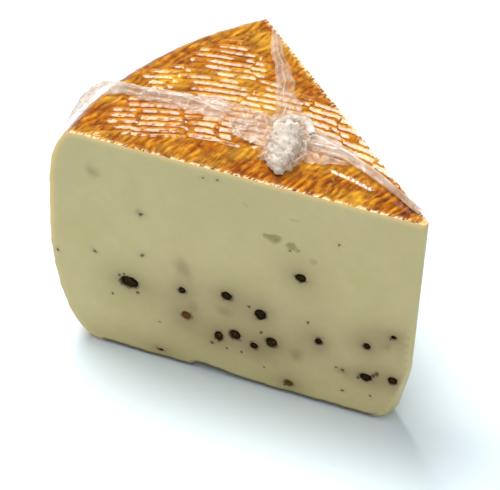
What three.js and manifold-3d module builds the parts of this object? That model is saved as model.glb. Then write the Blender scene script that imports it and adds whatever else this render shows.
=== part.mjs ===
// A wedge of pepper cheese, one eighth of a wheel, with the cling film gathered on its top.
// Millimetres. +Z is up and the wedge rests on z = 0. The front cut is parallel to X and faces -Y,
// the tip is at +X, and the origin is under the middle of the wedge's box.

import * as THREE from "three";
import { mergeVertices } from "three/addons/utils/BufferGeometryUtils.js";
import Module from "manifold-3d";

// The wheel that the wedge was cut from.
const WHEEL_RADIUS = 120;
const WHEEL_HEIGHT = 80;
const WEDGE_ANGLE = THREE.MathUtils.degToRad(45);

// The rim's top edge is a quarter ellipse, and so is the fuller round at its foot.
const SHOULDER_DEPTH = 8;
const SHOULDER_DROP = 20;
const HEEL_DEPTH = 18;
const HEEL_RISE = 46;

// The tip is slightly blunt, and its foot is worn back.
const TIP_RADIUS = 1.2;
const TIP_WEAR_RISE = 26;
const TIP_WEAR_DEPTH = 4.5;
const TIP_FOOT_RISE = 5;
const TIP_FOOT_DEPTH = 9;

// A whole peppercorn's radius, and the room round each in its socket.
const PEPPERCORN_RADIUS = 2.2;
const SOCKET_GAP = 0.3;

// The film's folds stand on the rind and its gathered ends make a bunch.
const FILM_GAP = 0.3;
const FOLD_THICKNESS = 1.4;
const FOLD_DROP = 12;
const FOLD_ROOT_WIDTH = 10;
const BUNCH_FROM_TIP = 51;
const BUNCH_FROM_FACE = 18;
const BUNCH_WIDTH = 12;
const BUNCH_LENGTH = 24;
const BUNCH_RISE = 7;
const KNOT_FROM_FACE = 25;
const RIM_FOLD_ANGLE = THREE.MathUtils.degToRad(11.5);
const RIM_FOLD_WIDTH = 8;
const CORNER_FOLD_REACH = 100;
const CORNER_FOLD_WIDTH = 4;
const TIP_FOLD_REACH = 8;
const TIP_FOLD_WIDTH = 2;

const ROUND_STEPS = 160;
const ELLIPSE_STEPS = 8;
const CUTTER_MARGIN = 5;

// Peppercorns in a cut face: share of the way from tip to rim, share of the height, and the width
// and height of the section that the knife left.
const FRONT_PEPPERCORNS = [
  [0.057, 0.22, 3.2, 3.2],
  [0.067, 0.438, 2.1, 2.1],
  [0.128, 0.2, 4.0, 3.0],
  [0.133, 0.358, 2.6, 2.6],
  [0.26, 0.315, 2.7, 2.7],
  [0.319, 0.6, 3.4, 3.4],
  [0.33, 0.06, 3.0, 2.5],
  [0.384, 0.244, 3.8, 3.8],
  [0.419, 0.366, 3.9, 3.9],
  [0.431, 0.202, 2.8, 2.8],
  [0.484, 0.23, 3.8, 3.8],
  [0.512, 0.413, 3.4, 3.4],
  [0.528, 0.2, 2.8, 4.2],
  [0.619, 0.26, 3.1, 3.1],
  [0.633, 0.38, 2.6, 2.6],
  [0.686, 0.045, 1.8, 1.8],
  [0.779, 0.35, 6.4, 4.4],
];
const BACK_PEPPERCORNS = [
  [0.17, 0.52, 3.0, 3.0],
  [0.21, 0.24, 3.8, 3.8],
  [0.29, 0.4, 2.6, 2.6],
  [0.34, 0.19, 3.4, 3.4],
  [0.4, 0.31, 4.0, 3.2],
  [0.45, 0.5, 2.8, 2.8],
  [0.5, 0.16, 3.2, 3.2],
  [0.55, 0.36, 3.9, 3.9],
  [0.6, 0.23, 2.4, 2.4],
  [0.66, 0.44, 3.5, 3.5],
  [0.7, 0.29, 3.0, 4.2],
  [0.77, 0.17, 3.6, 3.6],
  [0.82, 0.4, 3.0, 3.0],
  [0.86, 0.28, 2.2, 2.2],
];

// Eyes, the small hollows that gas left in the paste: share along, share up, width, height, depth.
const FRONT_EYES = [
  [0.29, 0.696, 3.0, 2.2, 0.8],
  [0.35, 0.744, 4.0, 3.4, 1.2],
  [0.394, 0.756, 5.0, 4.2, 1.5],
];
const BACK_EYES = [
  [0.31, 0.66, 3.6, 2.8, 1.0],
  [0.58, 0.72, 4.4, 3.4, 1.3],
];

const wasm = await Module();
wasm.setup();

// A closed three.js geometry as a solid that can be joined and cut.
function solidOf(geometry) {
  geometry.deleteAttribute("normal");
  geometry.deleteAttribute("uv");
  const merged = mergeVertices(geometry, 1e-4);
  const corners = merged.index.array;
  const triangles = [];
  for (let at = 0; at < corners.length; at += 3) {
    const [a, b, c] = corners.slice(at, at + 3);
    if (a !== b && b !== c && c !== a) triangles.push(a, b, c);
  }
  return new wasm.Manifold(new wasm.Mesh({
    numProp: 3,
    vertProperties: new Float32Array(merged.attributes.position.array),
    triVerts: new Uint32Array(triangles),
  }));
}

function geometryOf(solid) {
  const mesh = solid.getMesh();
  const geometry = new THREE.BufferGeometry();
  geometry.setAttribute("position", new THREE.BufferAttribute(mesh.vertProperties, 3));
  geometry.setIndex(new THREE.BufferAttribute(mesh.triVerts, 1));
  geometry.computeVertexNormals();
  return geometry;
}

// The wheel about the Z axis, grown outwards all round by `grown`.
function wheel(grown = 0) {
  const outline = [new THREE.Vector2(0, -grown)];
  const addQuarter = (depth, height, middle, start) => {
    for (let step = 0; step <= ELLIPSE_STEPS; step++) {
      const turn = start + ((step / ELLIPSE_STEPS) * Math.PI) / 2;
      const across = WHEEL_RADIUS - depth + (depth + grown) * Math.cos(turn);
      outline.push(new THREE.Vector2(across, middle + (height + grown) * Math.sin(turn)));
    }
  };
  addQuarter(HEEL_DEPTH, HEEL_RISE, HEEL_RISE, -Math.PI / 2);
  addQuarter(SHOULDER_DEPTH, SHOULDER_DROP, WHEEL_HEIGHT - SHOULDER_DROP, 0);
  outline.push(new THREE.Vector2(0, WHEEL_HEIGHT + grown));
  return solidOf(new THREE.LatheGeometry(outline, ROUND_STEPS).rotateX(Math.PI / 2));
}

// All that lies between the two cuts, as a tall prism with the tip rounded.
function betweenTheCuts() {
  const reach = 2 * WHEEL_RADIUS;
  const arcMiddle = -TIP_RADIUS / Math.tan(WEDGE_ANGLE / 2);
  const outline = new THREE.Shape();
  outline.moveTo(-reach, 0);
  outline.lineTo(arcMiddle, 0);
  outline.absarc(arcMiddle, TIP_RADIUS, TIP_RADIUS, -Math.PI / 2, Math.PI / 2 - WEDGE_ANGLE, false);
  outline.lineTo(-Math.cos(WEDGE_ANGLE) * reach, Math.sin(WEDGE_ANGLE) * reach);
  const depth = WHEEL_HEIGHT + 2 * CUTTER_MARGIN;
  const prism = new THREE.ExtrudeGeometry(outline, { depth, bevelEnabled: false, curveSegments: 6 });
  return solidOf(prism.translate(0, 0, -CUTTER_MARGIN));
}

// What is worn off the tip's foot: a side profile, swept square to the wedge's middle line.
function tipWear() {
  const blunt = TIP_RADIUS / Math.sin(WEDGE_ANGLE / 2) - TIP_RADIUS;
  const outside = blunt + CUTTER_MARGIN;
  const profile = new THREE.Shape();
  profile.moveTo(0, TIP_WEAR_RISE);
  profile.quadraticCurveTo(-TIP_WEAR_DEPTH * 0.8, TIP_WEAR_RISE / 2, -TIP_WEAR_DEPTH, TIP_FOOT_RISE);
  profile.quadraticCurveTo(-TIP_WEAR_DEPTH, TIP_FOOT_RISE / 2, -TIP_FOOT_DEPTH, 0);
  profile.lineTo(-TIP_FOOT_DEPTH, -CUTTER_MARGIN);
  profile.lineTo(outside, -CUTTER_MARGIN);
  profile.lineTo(outside, TIP_WEAR_RISE);
  const depth = 4 * TIP_FOOT_DEPTH;
  const cutter = new THREE.ExtrudeGeometry(profile, { depth, bevelEnabled: false, curveSegments: 4 });
  cutter.translate(0, 0, -depth / 2).rotateX(Math.PI / 2);
  return solidOf(cutter.translate(-blunt, 0, 0).rotateZ(-WEDGE_ANGLE / 2));
}

// A pebble-shaped solid, with its middle `depth` behind a place on the front or the back cut.
function pebble(along, up, depth, halfWidth, halfDepth, halfHeight, onBack) {
  const geometry = new THREE.SphereGeometry(1, 10, 6).rotateX(Math.PI / 2);
  geometry.scale(halfWidth, halfDepth, halfHeight);
  geometry.translate(-along * WHEEL_RADIUS, onBack ? -depth : depth, up * WHEEL_HEIGHT);
  return solidOf(onBack ? geometry.rotateZ(-WEDGE_ANGLE) : geometry);
}

// A peppercorn is as deep as a whole one. A small section means that the knife caught it off centre.
function peppercorn([along, up, width, height], grown, onBack) {
  const shown = Math.sqrt(width * height) / 2;
  const whole = Math.max(PEPPERCORN_RADIUS, shown * 1.05);
  const share = shown / whole;
  const depth = whole * Math.sqrt(1 - share * share);
  const halfWidth = width / 2 / share + grown;
  const halfHeight = height / 2 / share + grown;
  return pebble(along, up, depth, halfWidth, whole + grown, halfHeight, onBack);
}

function eye([along, up, width, height, depth], onBack) {
  return pebble(along, up, 0, width / 2, depth, height / 2, onBack);
}

const slice = betweenTheCuts();
const plainWedge = wheel().intersect(slice).subtract(tipWear());

// The paste and its rind formed as one piece. It has a socket for each peppercorn, and its eyes.
function cheese() {
  const cutters = [
    ...FRONT_PEPPERCORNS.map((entry) => peppercorn(entry, SOCKET_GAP, false)),
    ...BACK_PEPPERCORNS.map((entry) => peppercorn(entry, SOCKET_GAP, true)),
    ...FRONT_EYES.map((entry) => eye(entry, false)),
    ...BACK_EYES.map((entry) => eye(entry, true)),
  ];
  return cutters.reduce((left, cutter) => left.subtract(cutter), plainWedge);
}

// A tapering fold of film from the knot to `end`, as a prism that reaches below the top edge.
function fold(knot, end, endWidth) {
  const side = new THREE.Vector2(knot.y - end.y, end.x - knot.x).normalize();
  const outline = new THREE.Shape([
    knot.clone().addScaledVector(side, -FOLD_ROOT_WIDTH / 2),
    end.clone().addScaledVector(side, -endWidth / 2),
    end.clone().addScaledVector(side, endWidth / 2),
    knot.clone().addScaledVector(side, FOLD_ROOT_WIDTH / 2),
  ]);
  const depth = FOLD_DROP + CUTTER_MARGIN;
  const prism = new THREE.ExtrudeGeometry(outline, { depth, bevelEnabled: false });
  return solidOf(prism.translate(0, 0, WHEEL_HEIGHT - FOLD_DROP));
}

function fromTip(angle, reach) {
  return new THREE.Vector2(-Math.cos(angle) * reach, Math.sin(angle) * reach);
}

// The folds lie on the rind, from the knot to the rim, to the back cut and to the tip. The bunch is
// the gathered ends of the sheet, lying from the knot towards the front cut.
function clingFilm() {
  const knot = new THREE.Vector2(-BUNCH_FROM_TIP, KNOT_FROM_FACE);
  const skin = wheel(FILM_GAP + FOLD_THICKNESS).subtract(wheel(FILM_GAP)).intersect(slice);
  const bunch = new THREE.SphereGeometry(1, 20, 12).rotateX(Math.PI / 2);
  bunch.scale(BUNCH_WIDTH / 2, BUNCH_LENGTH / 2, BUNCH_RISE);
  bunch.translate(-BUNCH_FROM_TIP, BUNCH_FROM_FACE, WHEEL_HEIGHT + FILM_GAP);
  return fold(knot, fromTip(RIM_FOLD_ANGLE, WHEEL_RADIUS + CUTTER_MARGIN), RIM_FOLD_WIDTH)
    .add(fold(knot, fromTip(WEDGE_ANGLE, CORNER_FOLD_REACH), CORNER_FOLD_WIDTH))
    .add(fold(knot, fromTip(WEDGE_ANGLE / 2, TIP_FOLD_REACH), TIP_FOLD_WIDTH))
    .intersect(skin)
    .add(solidOf(bunch).subtract(wheel(FILM_GAP)));
}

const pasteLook = new THREE.MeshStandardMaterial({ color: 0xb4ae80, roughness: 0.45, metalness: 0 });
const pepperLook = new THREE.MeshStandardMaterial({ color: 0x2e2418, roughness: 0.8, metalness: 0 });
const filmLook = new THREE.MeshStandardMaterial({ color: 0xe8dccd, roughness: 0.2, metalness: 0 });

const wedge = new THREE.Group();
const tipSetback = TIP_RADIUS / Math.tan(WEDGE_ANGLE / 2) - TIP_RADIUS;
wedge.position.set(
  (WHEEL_RADIUS + tipSetback) / 2,
  (-Math.sin(WEDGE_ANGLE) * WHEEL_RADIUS) / 2,
  0,
);

function addPiece(name, solid, look) {
  const mesh = new THREE.Mesh(geometryOf(solid), look);
  mesh.name = name;
  wedge.add(mesh);
}

function addPeppercorns(side, entries) {
  entries.forEach((entry, index) => {
    const number = String(index + 1).padStart(2, "0");
    const corn = peppercorn(entry, 0, side === "back");
    addPiece(`peppercorn_${side}_${number}`, corn.intersect(plainWedge), pepperLook);
  });
}

addPiece("cheese_wedge", cheese(), pasteLook);
addPiece("cling_film", clingFilm(), filmLook);
addPeppercorns("front", FRONT_PEPPERCORNS);
addPeppercorns("back", BACK_PEPPERCORNS);

export default wedge;
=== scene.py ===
"""The looks of a wedge of pepper cheese in gathered cling film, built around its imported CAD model.

Shapes are worked out in millimetres in the wheel's frame: the wheel's axis is x = y = 0, the front
cut runs from it along -X, and the wedge turns through WEDGE_ANGLE towards +Y. to_row() carries
them to metres in the row's frame.
"""

import math

import bpy
import numpy as np
from mathutils import Matrix, Vector, noise
from mathutils.geometry import delaunay_2d_cdt


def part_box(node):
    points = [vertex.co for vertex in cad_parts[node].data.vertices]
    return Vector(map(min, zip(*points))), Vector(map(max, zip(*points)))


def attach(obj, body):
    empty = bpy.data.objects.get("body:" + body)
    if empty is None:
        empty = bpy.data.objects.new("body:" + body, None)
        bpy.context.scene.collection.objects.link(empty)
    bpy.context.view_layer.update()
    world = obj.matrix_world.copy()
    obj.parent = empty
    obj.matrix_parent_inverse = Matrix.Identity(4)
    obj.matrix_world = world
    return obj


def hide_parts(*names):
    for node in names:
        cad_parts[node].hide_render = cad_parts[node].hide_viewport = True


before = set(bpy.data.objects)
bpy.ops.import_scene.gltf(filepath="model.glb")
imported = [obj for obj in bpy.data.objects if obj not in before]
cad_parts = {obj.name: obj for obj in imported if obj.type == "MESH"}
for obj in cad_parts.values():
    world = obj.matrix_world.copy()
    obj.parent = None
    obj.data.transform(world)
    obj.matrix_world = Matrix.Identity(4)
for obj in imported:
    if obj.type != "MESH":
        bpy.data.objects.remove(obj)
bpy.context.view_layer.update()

MM = 0.001
WEDGE_ANGLE = math.radians(45)
low, high = (Vector(corner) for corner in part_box("cheese_wedge"))
RADIUS = (high.y - low.y) / math.sin(WEDGE_ANGLE) / MM
HEIGHT = high.z / MM
AXIS = Vector((low.x + RADIUS * MM, low.y, low.z))

# The rim's profile, as in the CAD model.
SHOULDER_DEPTH, SHOULDER_DROP = 8.0, 20.0
HEEL_DEPTH, HEEL_RISE = 18.0, 46.0

# The blunt tip and what is worn off its foot.
TIP_RADIUS = 1.2
TIP_WEAR_RISE, TIP_WEAR_DEPTH = 26.0, 4.5
TIP_FOOT_RISE, TIP_FOOT_DEPTH = 5.0, 9.0
TIP_REACH = 40.0  # how far the grid is pushed along behind the tip

# The steps of the rind's grid.
ANGLE_STEPS = 168
TOP_STEP, RIM_STEP, BASE_STEP, EDGE_STEP = 0.55, 0.9, 1.6, 1.5

# The pattern that the mould left: rows of ribs round one point, broken into columns, and slanting
# streaks in front of the first row and along the rim.
RIB_CENTRE = (-55.0, -85.0)
FIRST_RIB, RIB_PITCH, RIB_RISE = 99.2, 3.0, 0.66
RIB_CREST = 0.7  # where across its pitch a rib is highest, as a share from its front
RIB_ARC = 120.0  # how far from that point a column is COLUMN_WIDTH wide
COLUMN_WIDTH = 17.0
COLUMN_SHIFT = 0.35  # how far the ribs of every other column are shifted, as a share of the pitch
STREAK_SLANT = math.radians(72)
STREAK_PITCH, STREAK_RISE = 2.4, 0.2
CREST_RISE = 0.3  # of the ridge along the first rib, near the tip, which also gets a painted highlight
PLAIN_BORDER = 12.0  # along the rim, where the top has no ribs
STRAND_PITCH, STRAND_RISE, STAKE_PITCH = 4.2, 0.2, 11.0  # the basket pattern on the rim

# The low gap under the front cut, and the notch in it, by distance from the axis.
FOOT_GAP, FOOT_GAP_DEPTH = 1.0, 9.0
FOOT_NOTCH, FOOT_NOTCH_FROM, FOOT_NOTCH_TO = 1.4, 70.0, 48.0


def to_row(points):
    """Wheel frame in mm to row frame in metres."""
    return np.asarray(points, float) * MM + np.array(AXIS)


def smoothstep(low_end, high_end, value):
    share = np.clip((value - low_end) / (high_end - low_end), 0.0, 1.0)
    return share * share * (3.0 - 2.0 * share)


def noise_at(points, size, seed=0.0):
    """Smooth noise of about -1 to 1 at points in mm, with features about `size` mm wide."""
    shift = Vector((17.3, 5.1, 9.7)) * (seed + 1.0)
    scaled = np.asarray(points, float) / size
    return np.array([noise.noise(Vector(point) + shift) for point in scaled]) * 1.6


def chance(count, seed):
    """Whole numbers to fixed random values from 0 to 1."""
    value = np.sin(np.asarray(count, float) * 127.1 + seed * 311.7) * 43758.5453
    return value - np.floor(value)


def new_mesh(name, points, faces, smooth=True):
    mesh = bpy.data.meshes.new(name)
    mesh.from_pydata([tuple(point) for point in points], [], [tuple(face) for face in faces])
    mesh.update()
    mesh.polygons.foreach_set("use_smooth", [smooth] * len(mesh.polygons))
    piece = bpy.data.objects.new(name, mesh)
    bpy.context.scene.collection.objects.link(piece)
    return piece


def add_values(piece, name, values):
    """Stores a value for each vertex, which the materials read by name."""
    layer = piece.data.attributes.new(name, "FLOAT", "POINT")
    layer.data.foreach_set("value", np.asarray(values, np.float32))


# -------- profile of the wheel

def rim_curve():
    """The profile from the top's edge over the shoulder and down to the base: radius, height."""
    turn = np.linspace(0, math.pi / 2, 80)
    shoulder = np.stack([
        RADIUS - SHOULDER_DEPTH + SHOULDER_DEPTH * np.sin(turn),
        HEIGHT - SHOULDER_DROP + SHOULDER_DROP * np.cos(turn),
    ], 1)
    heel = np.stack([
        RADIUS - HEEL_DEPTH + HEEL_DEPTH * np.cos(turn),
        HEEL_RISE - HEEL_RISE * np.sin(turn),
    ], 1)
    return np.concatenate([shoulder, heel])


def spaced(curve, step):
    """Points along a curve at even steps, with its first and last points."""
    lengths = np.concatenate([[0.0], np.cumsum(np.linalg.norm(np.diff(curve, axis=0), axis=1))])
    places = np.linspace(0, lengths[-1], max(2, round(lengths[-1] / step) + 1))
    return np.stack([np.interp(places, lengths, curve[:, axis]) for axis in range(2)], 1)


def profile_loop():
    """The closed profile of a slice: along the top, down the rim, back along the base, up the tip.

    Gives radius and height, the outward direction, and how far out along the rind each point is.
    """
    top_end, base_end = RADIUS - SHOULDER_DEPTH, RADIUS - HEEL_DEPTH
    top = spaced(np.array([[0.0, HEIGHT], [top_end, HEIGHT]]), TOP_STEP)
    rim = spaced(rim_curve(), RIM_STEP)
    base = spaced(np.array([[base_end, 0.0], [0.0, 0.0]]), BASE_STEP)
    edge = spaced(np.array([[0.0, 0.0], [0.0, HEIGHT]]), EDGE_STEP)
    points = np.concatenate([top[:-1], rim[:-1], base[:-1], edge[:-1]])
    parts = np.repeat([0, 1, 2, 3], [len(top) - 1, len(rim) - 1, len(base) - 1, len(edge) - 1])
    ahead, behind = np.roll(points, -1, 0), np.roll(points, 1, 0)
    along = ahead - behind
    outward = np.stack([-along[:, 1], along[:, 0]], 1)
    outward /= np.linalg.norm(outward, axis=1)[:, None]
    outward[parts == 0] = (0.0, 1.0)
    outward[parts == 2] = (0.0, -1.0)
    outward[parts == 3] = (-1.0, 0.0)
    outward[np.flatnonzero(parts == 3)[0]] = (0.0, -1.0)
    return points, outward, parts


def tip_start(turn, height):
    """How far from the axis the wedge starts, at an angle from its middle line and a height."""
    half = WEDGE_ANGLE / 2
    centre = TIP_RADIUS / math.sin(half)
    inside = np.maximum(TIP_RADIUS**2 - (centre * np.sin(turn)) ** 2, 0.0)
    rounded = centre * np.cos(turn) - np.sqrt(inside)
    share = np.clip((TIP_WEAR_RISE - height) / (TIP_WEAR_RISE - TIP_FOOT_RISE), 0.0, 1.0)
    foot = np.clip(1.0 - height / TIP_FOOT_RISE, 0.0, 1.0)
    worn = TIP_WEAR_DEPTH * share**1.15 + (TIP_FOOT_DEPTH - TIP_WEAR_DEPTH) * foot**2.2
    flat = (centre - TIP_RADIUS + worn) / np.cos(turn) + 0.35 * share * np.abs(turn / half) ** 5
    return np.maximum(rounded, flat)


# -------- pattern of the rind

def rib_limits(x, y, ring, flat):
    """From 0 to 1: 0 in the plain parts along the rim, by the tip and along the back cut."""
    from_rim = RADIUS - np.hypot(x, y) + noise_at(flat, 8.0, 6) * 3.5
    off_rim = smoothstep(PLAIN_BORDER - 2, PLAIN_BORDER + 2, from_rim)
    off_tip = 1 - smoothstep(-48, -42, x) * smoothstep(110, 106, ring)
    from_back = -x * math.sin(WEDGE_ANGLE) - y * math.cos(WEDGE_ANGLE) + noise_at(flat, 6.0, 5) * 1.5
    off_back = 1 - smoothstep(13, 9, from_back) * smoothstep(128, 133, ring)
    return off_rim * off_tip * off_back


def top_ribs(x, y, ring, flat):
    """The ribs on the top, each from 0 to 1: how high, how light in colour, and where they are. Their colour
    is painted light on the crests and painted shade in the grooves.
    """
    turn = np.arctan2(x - RIB_CENTRE[0], y - RIB_CENTRE[1])
    column = turn * RIB_ARC / COLUMN_WIDTH + noise_at(flat, 14.0, 1) * 0.35
    from_gap = np.abs(column - np.round(column)) * COLUMN_WIDTH
    wander = noise_at(flat, 12.0, 2) * 0.4 + noise_at(flat, 4.0, 3) * 0.16
    across = (ring + wander - FIRST_RIB) / RIB_PITCH
    ribbed = smoothstep(-0.1, 0.35, across) * rib_limits(x, y, ring, flat)
    across += COLUMN_SHIFT * (np.floor(column) % 2)
    place = across - np.floor(across)
    ridge = np.where(place < RIB_CREST, place / RIB_CREST, (1 - place) / (1 - RIB_CREST))
    ridge = 0.75 * ridge + 0.25 * smoothstep(0.0, 1.0, ridge)
    unbroken = smoothstep(-0.3, 0.7, from_gap + noise_at(flat, 5.0, 4) + 0.25)
    worn = smoothstep(-0.7, 0.1, noise_at(flat, 7.0, 7) + 0.5)
    rib = ridge * unbroken * ribbed * (0.35 + 0.65 * worn)
    return rib, np.maximum(rib, 0.5 * ridge * ribbed), ribbed


def top_pattern(x, y):
    """The relief of the top in mm, and how far it is rib or streak, and crest, from 0 to 1."""
    flat = np.stack([x, y, 0 * x], 1)
    ring = np.hypot(x - RIB_CENTRE[0], y - RIB_CENTRE[1])
    rib, shade, ribbed = top_ribs(x, y, ring, flat)
    slant = x * math.sin(STREAK_SLANT) - y * math.cos(STREAK_SLANT) + noise_at(flat, 7.0, 8) * 1.3
    streak = (0.5 + 0.5 * np.cos(2 * np.pi * slant / STREAK_PITCH)) * (1 - ribbed)
    streak *= smoothstep(-0.6, 0.5, noise_at(flat, 3.5, 9))
    grain = noise_at(flat, 1.3, 10) * 0.045 + noise_at(flat, 3.5, 11) * 0.05
    crest = np.exp(-(((ring - FIRST_RIB - 1.2) / 0.6) ** 2))
    crest *= smoothstep(-37, -34, x) * smoothstep(-19, -23, x)
    height = RIB_RISE * rib + STREAK_RISE * streak + CREST_RISE * crest + grain
    # The second value is painted light and shade: lighter on the crests of ribs and streaks, darker between
    # them.
    return height, np.maximum(shade, 0.9 * streak), crest


def rim_pattern(x, y, z):
    """The relief of the rim in mm, and how far it is rib: level strands over and under stakes."""
    around = np.arctan2(y, -x) * RADIUS
    here = np.stack([x, y, z], 1)
    strand = (z + noise_at(here, 14.0, 12) * 0.6) / STRAND_PITCH
    row = np.floor(strand)
    stake = around / STAKE_PITCH + 0.5 * (row % 2)
    over = 0.5 + 0.5 * np.cos(2 * np.pi * stake)
    ridge = np.sin(np.pi * (strand - row)) ** 1.2
    rib = ridge * smoothstep(0.08, 0.6, over) * smoothstep(-0.8, 0.2, noise_at(here, 9.0, 13) + 0.2)
    grain = noise_at(here, 1.5, 14) * 0.042 + noise_at(here, 4.0, 15) * 0.06
    # The second value is painted light on strands where they run over a stake, and painted shade between
    # them.
    return STRAND_RISE * rib + grain, 0.6 * rib


# -------- features of the cut faces

def section_of(node, on_back):
    """Where a CAD peppercorn shows in its cut face: distance from the axis, height, half sizes."""
    points = np.empty(len(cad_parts[node].data.vertices) * 3)
    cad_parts[node].data.vertices.foreach_get("co", points)
    points = (points.reshape(-1, 3) - np.array(AXIS)) / MM
    turn = WEDGE_ANGLE if on_back else 0.0
    behind = np.abs(points[:, 0] * math.sin(turn) + points[:, 1] * math.cos(turn))
    reach = -points[:, 0] * math.cos(turn) + points[:, 1] * math.sin(turn)
    shown = behind < 0.02
    reach, rise = reach[shown], points[shown, 2]
    middle = (reach.min() + reach.max()) / 2, (rise.min() + rise.max()) / 2
    return *middle, (reach.max() - reach.min()) / 2, (rise.max() - rise.min()) / 2


# Eyes in the paste: distance from the axis, height, half width, half height and depth, in mm.
FRONT_EYES = [
    (34.8, 55.7, 1.5, 1.1, 0.4),
    (42.0, 59.3, 1.9, 1.5, 0.8),
    (40.0, 58.4, 1.1, 0.9, 0.5),
    (47.3, 60.5, 2.5, 1.9, 1.1),
    (50.0, 60.8, 1.3, 1.0, 0.6),
    (56.7, 70.5, 1.2, 1.0, 0.2),
    (41.5, 69.5, 1.6, 0.9, 0.2),
]
BACK_EYES = [
    (37.2, 52.8, 1.8, 1.4, 0.8),
    (69.6, 57.6, 2.2, 1.7, 1.0),
    (74.0, 60.0, 1.3, 1.0, 0.5),
    (52.0, 66.0, 1.5, 1.1, 0.4),
]

# Crumbs of pepper in the front cut: distance from the axis, height and radius, in mm.
FRONT_CRUMBS = [
    (105.0, 36.6, 0.65), (89.2, 40.2, 0.7), (90.0, 56.0, 0.75), (99.0, 21.4, 0.5),
    (117.6, 33.0, 0.5), (22.3, 8.0, 0.5), (13.4, 9.0, 0.45), (27.3, 64.6, 0.4),
    (35.0, 31.5, 0.55), (54.0, 31.3, 0.6), (42.2, 57.5, 0.4), (90.6, 24.6, 0.7),
    (12.0, 18.6, 0.9), (22.8, 16.4, 0.6), (48.0, 8.5, 0.35), (60.5, 12.0, 0.45),
    (66.0, 76.5, 0.4), (70.5, 76.0, 0.35), (83.0, 15.0, 0.3), (96.8, 29.8, 0.6),
    (91.4, 26.6, 0.8), (92.2, 29.6, 0.6), (96.0, 26.4, 0.5), (95.2, 30.6, 0.5),
    (13.0, 17.6, 0.8), (17.8, 15.0, 0.6), (65.4, 12.6, 0.7), (49.6, 22.4, 0.6),
    (41.0, 3.6, 0.4), (8.9, 33.8, 0.4), (25.0, 16.8, 0.4), (55.6, 12.2, 0.5),
]
# Pepper just under the surface, which shows as a soft dark patch.
FRONT_SHADES = [
    (61.8, 26.5, 2.0), (76.0, 39.5, 3.0), (38.0, 17.5, 1.9), (23.0, 16.0, 1.6),
    (10.0, 31.0, 1.6), (106.0, 67.3, 1.8), (91.0, 57.0, 0.9), (72.0, 25.0, 1.5),
]

FRONT_CORNS = [section_of(n, False) for n in sorted(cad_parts) if n.startswith("peppercorn_front")]
BACK_CORNS = [section_of(n, True) for n in sorted(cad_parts) if n.startswith("peppercorn_back")]


def scattered(count, seed, reach, rise, sizes):
    """Made-up places in the back cut, as (distance, height, radius)."""
    order = np.arange(count)
    return list(zip(
        reach[0] + (reach[1] - reach[0]) * chance(order, seed),
        rise[0] + (rise[1] - rise[0]) * chance(order, seed + 1),
        sizes[0] + (sizes[1] - sizes[0]) * chance(order, seed + 2),
    ))


BACK_CRUMBS = scattered(22, 21, (12, 108), (6, 74), (0.3, 0.8))
BACK_SHADES = scattered(9, 31, (15, 100), (14, 40), (1.4, 3.0))


def rings_round(reach, rise, half_width, half_height, shares, steps):
    """Points in rings round a feature, so that the mesh is fine enough to hold it."""
    points = [(reach, rise)]
    for number, share in enumerate(shares):
        for step in range(steps):
            turn = 2 * math.pi * (step + 0.5 * (number % 2)) / steps
            across, up = share * math.cos(turn), share * math.sin(turn)
            points.append((reach + half_width * across, rise + half_height * up))
    return points


SOCKET_RINGS = (0.5, 0.85, 0.93, 1.0, 1.08, 1.2, 1.4, 1.8, 2.5)
EYE_RINGS = (0.3, 0.6, 0.85, 1.05, 1.4)
CRUMB_RINGS = (0.6, 1.1, 1.7)
FACE_STEP = 1.5  # of the plain parts of a cut face
BORDER_DEPTHS = (0.45, 1.0, 1.8, 2.9)  # of the rows of points inside its outline
SOCKET_DEPTH = 2.3


def plain_places(cleared, seed):
    """Places on a jittered grid over a cut face, outside the cleared circles."""
    places = []
    for column in range(int(RADIUS / FACE_STEP)):
        for line in range(int(HEIGHT / FACE_STEP)):
            jitter = 0.5 * (chance([column * 131 + line, column * 57 + line * 3], seed) - 0.5)
            reach, rise = (column + 0.5 + jitter[0]) * FACE_STEP, (line + 0.5 + jitter[1]) * FACE_STEP
            if all(math.hypot(reach - x, rise - y) > radius for x, y, radius in cleared):
                places.append((reach, rise))
    return places


def border_places(loop):
    """Rows of places along the inside of a loop, at every other point of it but at its base."""
    ahead = np.roll(loop, -1, 0)
    inward = np.stack([(ahead - loop)[:, 1], -(ahead - loop)[:, 0]], 1)
    inward /= np.maximum(np.linalg.norm(inward, axis=1), 1e-9)[:, None]
    kept = (np.arange(len(loop)) % 2 == 0) | (loop[:, 1] < 4)
    return [tuple(point) for depth in BORDER_DEPTHS for point in (loop + inward * depth)[kept]]


def face_points(loop, corns, eyes, crumbs, seed):
    """Places inside a cut face where its mesh gets a vertex."""
    features, cleared = [], []
    for reach, rise, half_width, half_height in corns:
        features += rings_round(reach, rise, half_width, half_height, SOCKET_RINGS, 18)
        cleared.append((reach, rise, 2.6 * max(half_width, half_height)))
    for reach, rise, half_width, half_height, _ in eyes:
        features += rings_round(reach, rise, half_width, half_height, EYE_RINGS, 14)
        cleared.append((reach, rise, 1.2 * max(half_width, half_height)))
    for reach, rise, radius in crumbs:
        features += rings_round(reach, rise, radius, radius, CRUMB_RINGS, 8)
        cleared.append((reach, rise, 1.8 * radius))
    grid, borders = plain_places(cleared, seed), border_places(loop)
    places = np.array(features + grid + borders)
    room = np.repeat([0.35, 2.9, 0.3], [len(features), len(grid), len(borders)])
    nearest, inside = distance_inside(places, loop)
    return places[inside & (nearest > room)]


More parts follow.
